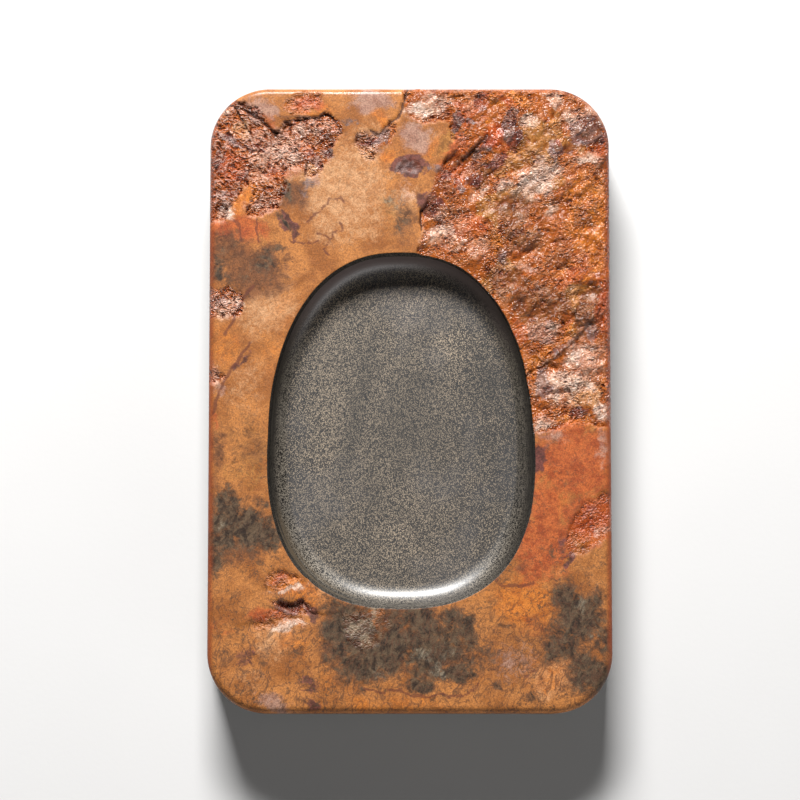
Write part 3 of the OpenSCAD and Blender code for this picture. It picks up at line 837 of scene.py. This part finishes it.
# Looks of the stains: dark tone, light tone, and how the stain's field fades into them: (where
# it starts, where it is full, strength)
LOOKS = {
    "tan": ((0.49, 0.215, 0.082), (0.64, 0.335, 0.160), (0.15, 1.05, 0.95)),
    "orange": ((0.48, 0.125, 0.014), (0.69, 0.215, 0.028), (0.15, 0.95, 0.90)),
    "red": ((0.34, 0.060, 0.014), (0.54, 0.125, 0.028), (0.20, 0.85, 0.92)),
    "gold": ((0.24, 0.092, 0.018), (0.46, 0.195, 0.044), (0.10, 0.65, 0.95)),
    "umber": ((0.090, 0.032, 0.013), (0.24, 0.085, 0.028), (0.10, 0.75, 0.90)),
    "mauve": ((0.33, 0.165, 0.118), (0.45, 0.252, 0.182), (0.20, 0.90, 0.90)),
    "pink": ((0.44, 0.180, 0.102), (0.68, 0.395, 0.272), (0.20, 0.85, 0.75)),
    "chalk_and_sheen": ((0.66, 0.430, 0.310), (0.90, 0.720, 0.590), (0.20, 0.85, 0.74)),
    "plum": ((0.050, 0.014, 0.015), (0.17, 0.052, 0.046), (0.15, 0.60, 0.90)),
    "slate": ((0.045, 0.032, 0.035), (0.24, 0.160, 0.145), (0.15, 0.65, 0.90)),
    "dark": ((0.012, 0.008, 0.005), (0.125, 0.082, 0.046), (0.25, 0.90, 0.95)),
    "ash": ((0.060, 0.046, 0.032), (0.30, 0.240, 0.165), (0.20, 0.75, 0.90)),
}
OCHRE = ((0.32, 0.104, 0.021), (0.54, 0.204, 0.052))
RUSSET = (0.37, 0.082, 0.013)
DEEP_RED = (0.50, 0.070, 0.012)
# painted shade for the flanks and creases of broken ground, and a painted highlight for its crests
PAINTED_FLANK_SHADE = (0.32, 0.045, 0.012)
PAINTED_CREASE_SHADE = (0.060, 0.015, 0.010)
PAINTED_CREST_HIGHLIGHT = (0.88, 0.56, 0.47)
ARRIS_RUST = (0.30, 0.060, 0.016)
HAIRLINE, FLECK, GRIME = (0.11, 0.045, 0.022), (0.085, 0.048, 0.026), (0.11, 0.045, 0.020)
VEIN, CRACK = (0.13, 0.034, 0.018), (0.070, 0.024, 0.014)
# Colours of the broken ground, from the dark end of a noise to its light end
GROUND = [(0.40, (0.070, 0.022, 0.018)), (0.45, (0.30, 0.062, 0.020)), (0.49, (0.48, 0.100, 0.016)),
          (0.54, (0.60, 0.185, 0.030)), (0.60, (0.66, 0.330, 0.190))]

STONE_DARK, STONE_LIGHT = (0.014, 0.011, 0.009), (0.355, 0.305, 0.240)
STONE_GROUND = (0.332, 0.258, 0.178)
BLUISH = (0.082, 0.082, 0.092)
BROWN_BED, GREY_BED = (0.115, 0.083, 0.050), (0.10, 0.088, 0.07)
# plain colour painted on the wall at the pool end for its shade and its reflection
PAINTED_WALL_SHADE_AND_REFLECTION = (0.175, 0.130, 0.124)
RUST = ((0.060, 0.024, 0.012), (0.30, 0.105, 0.030))

# Soft clouds in the floor of the well: (x, y, half-length, half-width, how much paler, turn)
CLOUDS = [
    (1, 28, 10, 6, 0.42, 50), (13, 18, 8, 7, 0.58, 20), (24, 5, 9, 13, -0.34, 0),
    (-5, -43, 9, 6, 0.42, 0), (3, -30, 12, 9, 0.15, 0), (-17, -5, 5, 36, -0.34, -14),
    (20, -14, 10, 14, -0.22, 20), (-24, 30, 10, 7, 0.25, 40), (-30, -20, 7, 18, 0.1, 0),
    (3, 6, 12, 7, -0.16, 0), (0, -10, 18, 26, -0.28, 0), (28, 24, 6, 7, -0.2, 0),
    (0, 33, 20, 4, 0.2, 0), (-12, -30, 6, 14, -0.16, 10), (4, -50, 22, 6, 0.22, 0),
    (-26, -42, 6, 10, -0.2, 20),
]


def stone_colour(s, contrast, paleness=0.50, light=STONE_LIGHT):
    """Colour of the dark stone: fine pale and dark grains, in clouds."""
    grain = s.math("SUBTRACT", s.cells(0.22), 0.5)
    clouds = s.math("SUBTRACT", s.noise(11, 4, 0.6, 0.6), 0.5)
    amount = s.total((grain, contrast), (clouds, 0.34), (paleness, 1.0))
    colour = s.mix(STONE_DARK, light, s.fade(amount, 0.28, 1.02))
    return s.mix(colour, BLUISH, s.fade(s.noise(22, 2, 0.5), 0.50, 0.7, 0, 0.25))


def well_walls_and_painted_shade(s):
    """Share of its paleness that the stone keeps: the walls of the well are darker than its floor,
    most on the left, and painted shade darkens the floor towards its left and right walls."""
    x, z = s.axis("X"), s.axis("Z")
    # painted shade: the floor darkens towards the right wall and the left wall
    sides = s.times(s.fade(x, 18, 37, 0.98, 0.41), s.fade(x, -44, -26, 0.58, 1.0))
    up_the_wall = s.fade(z, FACE - 7.2, FACE - 4.8)
    left_out = s.times(up_the_wall, s.fade(x, -26, -6, 0.72, 0.53))
    return s.times(sides, s.inverse(left_out))


def dark_stone():
    s = Shader("dark_stone")
    x, y, z = (s.axis(name) for name in "XYZ")
    outside = s.math("MAXIMUM", s.fade(s.math("ABSOLUTE", x), 50, 60),
                     s.fade(s.math("ABSOLUTE", y), 80, 90))
    inside = s.inverse(outside)
    beds_at = s.node("Mapping", {"Vector": s.mm, "Scale": (0.03, 0.03, 1)})[0]

    # the floor of the well is ground pale in its middle; its sides stay more speckled
    sideways = s.math("ABSOLUTE", s.math("SUBTRACT", x, WELL_X))
    contrast = s.total((s.fade(sideways, 14, 36, 2.5, 5.4), inside), (outside, 1.5))
    ground = s.times(s.fade(z, FACE - 8.75, FACE - 8.25, 1.0, 0.0), inside)
    sparse = s.times(ground, s.math("MAXIMUM", s.fade(x, 10, 34), s.fade(x, -24, -42)))
    paleness = s.total((ground, -0.20), (sparse, -0.75), (1.0, 0.50))
    s.colour = stone_colour(s, contrast, paleness, s.mix(STONE_LIGHT, STONE_GROUND, ground))
    # the stone is darker up the walls and has painted shade towards the side walls, then is paled or
    # darkened in soft clouds
    paler = well_walls_and_painted_shade(s)
    drift = s.add(s.noise(7, 4, 0.6, output="Color"), (-0.5, -0.5, -0.5))
    drifting = s.add(s.mm, s.scale(drift, 5.0))
    for cloud in CLOUDS:
        paler = s.total((s.spot(drifting, cloud), cloud[4]), (paler, 1.0))
    s.colour = s.scale(s.colour, s.total((paler, inside), (sparse, 0.26), (outside, 0.70)))

    # brown beds show in the wall at the lower left
    strata = s.fade(s.noise(0.8, 3, 0.6, 0, beds_at), 0.44, 0.56, 0, 0.8)
    lower_left = s.times(s.fade(x, -12, -24), s.fade(y, -28, -44))
    there = s.times(lower_left, s.fade(z, FACE - 8.0, FACE - 5.0), inside)
    s.over(BROWN_BED, strata, there)

    # at the pool end the wall is painted one plain colour that stands in for its shade and the reflection
    # it shows
    painted_band = s.times(s.fade(z, FACE - 9.2, FACE - 6.4, 0, 0.92), s.fade(y, 10, 36))
    s.over(PAINTED_WALL_SHADE_AND_REFLECTION, painted_band, inside)

    # rust creeps down the sides from the rind, and in patches
    reach = s.fade(s.noise(15, 4, 0.6), 0.35, 0.75, 0, 9.0)
    rust_edge = s.total((z, 1.0), (reach, 1.0), (1.0, 1.2 - SEAM))
    rust = s.times(s.fade(rust_edge, 0, 5.0), outside)
    tone = s.mix(*RUST, s.fade(s.noise(2.4, 6, 0.7), 0.38, 0.62))
    s.over(tone, rust, s.fade(s.noise(0.7, 3), 0.35, 0.6, 0.5, 0.95))
    beds = s.fade(s.noise(1.7, 3, 0.6, 0, beds_at), 0.35, 0.75, 0, 0.5)
    s.over(GREY_BED, beds, outside)

    # ink has polished the cove, while the floor is ground matt
    roughness = s.total((s.fade(s.noise(0.4, 2), 0.3, 0.7, 0.34, 0.40), 1.0), (ground, 0.34))
    s.surface.inputs["IOR"].default_value = 1.78
    return s.finish(roughness, s.bump(s.noise(0.5, 3, 0.6), 0.018))


def lay_stains(s, rough, mottle, smoke, wisps):
    """The stains, one over another: soft-edged on the smooth skin and sharper on broken
    ground."""
    smooth = s.inverse(rough)
    edge = s.total((smoke, 1.9), (wisps, 1.5), (1.0, -1.70))
    edge = s.times(edge, s.total((rough, -0.35), (1.0, 1.0)))
    inner = s.fade(s.total((mottle, 0.5), (wisps, 0.5)), 0.43, 0.57)
    brushed = s.fade(s.noise(2.6, 7, 0.72, 0.6, s.stretched(76, 1.35)), 0.39, 0.61)
    for name in STAINS:
        dark, light, (start, full, strength) = LOOKS[name]
        mask = s.mask(name)
        field = s.total((edge, s.fade(mask, 0.0, 0.3)), (mask, 1.0))
        if name == "dark":
            s.over(LOOKS["umber"][1], s.fade(field, 0.05, 0.7, 0, 0.6))
        share = brushed if name in ("dark", "ash") else inner
        soft = s.fade(field, start, full, 0, strength)
        middle = (start + full) / 2
        half = (full - start) * (0.5 if name in ("chalk_and_sheen", "pink") else 0.2)
        crisp = s.fade(field, middle - half, middle + half, 0, strength)
        cover = s.total((s.times(soft, smooth), 1.0), (s.times(crisp, rough), 1.0))
        s.over(s.mix(dark, light, share), cover)


def crumpled(s, left, right, facets):
    """Height of the broken ground: wavy crests on the left, crests along the beds on the
    right."""
    wavy = s.crests(s.noise(1.75, 2.0, 0.5, 0.5, s.stretched(-12, 1.2)), 4.2)
    along = s.crests(s.noise(2.4, 2.5, 0.55, 0.5, s.stretched(38, 1.5)), 4.0)
    beds = s.math("SUBTRACT", s.noise(3.6, 2, 0.5, 0.4, s.stretched(38, 1.4)), 0.5)
    small = s.crests(s.noise(1.1, 1.5, 0.5, 0.4, s.stretched(10, 1.2)), 2.4)
    busy = s.fade(s.noise(8, 3, 0.6), 0.43, 0.57, 0.30, 1.0)
    height = s.total((s.times(wavy, left), 1.5), (s.times(along, right), 1.1), (s.times(beds, right), 1.3),
                     (s.times(small, left), 1.0), (s.times(small, right), 1.6))
    return s.times(height, s.math("MAXIMUM", s.times(busy, facets), left))


def weathered_stone():
    s = Shader("weathered_stone")
    rough, hollow, crack, vein, wall = (s.mask(n) for n in ("rough", "hollow", "crack", "vein", "wall"))
    smooth = s.inverse(rough)
    x, y = s.axis("X"), s.axis("Y")
    right = s.fade(x, -14, -4)
    left = s.inverse(right)
    clouds = s.noise(13, 5, 0.6, 0.5)
    mottle = s.noise(3.0, 5, 0.65, 0.6)
    grain = s.noise(0.40, 2, 0.6)
    smoke = s.noise(6.0, 9, 0.72, 0.7)
    wisps = s.noise(2.6, 7, 0.75, 1.2, s.add(s.mm, (40.0, 70.0, 0.0)))

    # the smooth skin and its stains
    tone = s.fade(s.total((clouds, 0.78), (mottle, 0.22)), 0.38, 0.62)
    s.colour = s.mix(s.mix(*OCHRE, tone), RUSSET, rough, 0.75)
    lay_stains(s, rough, mottle, smoke, wisps)

    # broken ground: small patches of many colours on the stains
    patches = s.noise(3.6, 5, 0.62, 0.9, s.stretched(38, 1.5))
    s.over(s.ramp(patches, GROUND), rough, 0.22)
    s.over(DEEP_RED, rough, s.fade(s.mask("red"), 0.6, 1.2, 0, 0.55))

    # painted shade darkens the hollows and lower flanks of its crumpled surface, and a painted highlight
    # lightens its crests
    facets = s.fade(s.math("MAXIMUM", s.mask("umber"), s.mask("gold")), 0.3, 1.0, 1.0, 0.65)
    height = crumpled(s, left, right, facets)
    low = s.total((height, -1.0), (hollow, 0.7), (1.0, -0.35))
    flank_shade = s.mix(PAINTED_FLANK_SHADE, s.scale(s.colour, 0.55), s.total((left, -0.2), (1.0, 0.6)))
    s.over(flank_shade, s.fade(low, -0.10, 0.42, 0, 0.66), rough)
    s.over(PAINTED_CREASE_SHADE, s.fade(low, 0.38, 0.80, 0, 0.85), rough)
    crest_highlight = s.times(s.fade(low, -0.10, -0.45, 0, 0.7), s.math("SUBTRACT", rough, s.mask("ash")))
    s.over(PAINTED_CREST_HIGHLIGHT, crest_highlight, s.total((left, 0.46), (1.0, 0.12)))

    # dark hairlines and flecks in the smooth skin, most at the lower end
    low_end = s.fade(s.total((y, 1.0), (clouds, 60.0), (1.0, -30.0)), -40, -75)
    hair = s.math("ABSOLUTE", s.math("SUBTRACT", s.noise(3.4, 3, 0.5, 1.0, s.stretched(72, 1.6)), 0.5))
    hairs = s.times(s.fade(hair, 0.034, 0.010, 0, 0.62), s.total((low_end, 0.85), (1.0, 0.15)))
    s.over(HAIRLINE, hairs, smooth)
    soiled = s.fade(s.noise(9, 3, 0.6, 0.4, s.add(s.mm, (13.0, 57.0, 0.0))), 0.42, 0.58, 0.15, 1.0)
    soiled = s.times(soiled, s.fade(y, 20, -60, 0.30, 1.0))
    flecks = s.fade(s.noise(1.3, 5, 0.68, 0.8), 0.52, 0.61, 0, 0.70)
    s.over(FLECK, flecks, soiled, smooth)

    # rust along the arrises of the long sides
    at_side = s.fade(s.math("ABSOLUTE", x), 61.6, 63.4)
    s.over(ARRIS_RUST, at_side, s.fade(clouds, 0.35, 0.5, 0.3, 0.8))

    # grain and fine dark specks all over, then veins and cracks, whose dark colour is painted shadow where
    # they run under the corner spall's ledge
    s.colour = s.scale(s.colour, s.fade(grain, 0.34, 0.66, 0.76, 1.22))
    grime = s.total((s.noise(0.9, 4, 0.7), 1.0), (clouds, 0.35), (1.0, -0.175))
    s.over(GRIME, s.fade(grime, 0.56, 0.74, 0, 0.60))
    frayed = s.total((wisps, 1.6), (1.0, -0.8))
    s.over(VEIN, s.fade(s.math("ADD", vein, frayed), 0.30, 0.95, 0, 0.72))
    s.over(CRACK, s.fade(s.math("ADD", crack, frayed), 0.35, 0.9, 0, 0.85))

    # the stain is only a skin: the wall of the well shows the dark stone, darkened as the well's walls are,
    # with painted shade towards the left and right
    skin = s.total((wall, 1.0), (mottle, 0.5), (1.0, -0.25))
    s.over(s.scale(stone_colour(s, 2.0), well_walls_and_painted_shade(s)), s.fade(skin, 0.25, 0.6))

    # the smooth skin is dull but for its polished arris; the broken ground glints
    s.surface.inputs["IOR"].default_value = 1.42
    dull = s.fade(facets, 1.0, 0.65, 0.0, 0.16)
    roughness = s.total((s.fade(mottle, 0.3, 0.7, 0.60, 0.70), smooth),
                        (s.math("ADD", s.fade(wisps, 0.4, 0.6, 0.14, 0.22), dull), rough))
    polished = s.times(s.fade(y, 96.6, 98.2), smooth)
    roughness = s.total((roughness, 1.0), (polished, -0.36))
    fine = s.total((s.noise(0.9, 4, 0.6), 0.14), (grain, 0.05))
    return s.finish(roughness, s.bump(s.total((height, rough), (fine, 1.1)), 0.55))


def pale_floor():
    s = Shader("pale_floor")
    s.colour = s.mix((0.78, 0.77, 0.76), (0.82, 0.81, 0.80), s.noise(60, 3))
    return s.finish(0.7, s.bump(s.noise(1.5, 2), 0.02))


# ---------------- the scene, in metres
CAMERA_DISTANCE, CAMERA_LENS = 1.0, 141.66  # metres, and mm for a sensor 36 mm wide
CAMERA_TILT = 6.1  # degrees back from square on
KEY_HEIGHT, KEY_SIDE = 36, 7  # degrees above the face, and left of +Y
LIGHT_DISTANCE = 1.6
FLOOR_HALF = 12.0  # half the side of the floor


def add_camera():
    """All but square on to the face, and a little left of its middle."""
    tilt = math.radians(CAMERA_TILT)
    aim = Vector((-3.1 * MM, -0.9 * MM, FACE * MM))
    camera = bpy.data.cameras.new("camera")
    camera.sensor_width, camera.lens = 36.0, CAMERA_LENS
    camera.clip_start, camera.clip_end = 0.01, 20
    holder = bpy.data.objects.new("camera", camera)
    holder.location = aim + CAMERA_DISTANCE * Vector((0, -math.sin(tilt), math.cos(tilt)))
    holder.rotation_euler = (tilt, 0, 0)
    bpy.context.scene.collection.objects.link(holder)
    bpy.context.scene.camera = holder


def add_floor():
    mesh = bpy.data.meshes.new("floor")
    corners = [(x * FLOOR_HALF, y * FLOOR_HALF, 0) for x, y in ((-1, -1), (1, -1), (1, 1), (-1, 1))]
    mesh.from_pydata(corners, [], [(0, 1, 2, 3)])
    mesh.materials.append(pale_floor())
    floor = bpy.data.objects.new("floor", mesh)
    bpy.context.scene.collection.objects.link(floor)


def add_light(name, direction, size_x, size_y, watts):
    """A soft rectangle of light that faces the middle of the carved face."""
    light = bpy.data.lights.new(name, "AREA")
    light.shape, light.size, light.size_y = "RECTANGLE", size_x, size_y
    light.energy = watts
    holder = bpy.data.objects.new(name, light)
    aim = Vector((0, 0, FACE * MM))
    holder.location = aim + Vector(direction).normalized() * LIGHT_DISTANCE
    holder.rotation_euler = (aim - holder.location).to_track_quat("-Z", "Y").to_euler()
    bpy.context.scene.collection.objects.link(holder)


def add_lights():
    high, side = math.radians(KEY_HEIGHT), math.radians(KEY_SIDE)
    key = (-math.sin(side) * math.cos(high), math.cos(side) * math.cos(high), math.sin(high))
    add_light("key", key, 0.62, 0.42, 52)
    add_light("fill", (0.6, -1.0, 0.35), 2.2, 0.5, 8)
    world = bpy.data.worlds.new("studio")
    world.use_nodes = True
    background = world.node_tree.nodes["Background"].inputs
    background["Color"].default_value = (1, 1, 1, 1)
    background["Strength"].default_value = 0.035
    bpy.context.scene.world = world
    bpy.context.scene.view_settings.view_transform = "Standard"


add_camera()
add_lights()
add_floor()

PIECES = (
    (build_rind(), weathered_stone(), "weathered_rind", "weathered_stone"),
    (build_core(), dark_stone(), "stone_core", "dark_stone"),
)
for piece, look, node_name, slot_name in PIECES:
    piece.data.materials.append(look)
    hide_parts(node_name)
    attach(piece, "root")
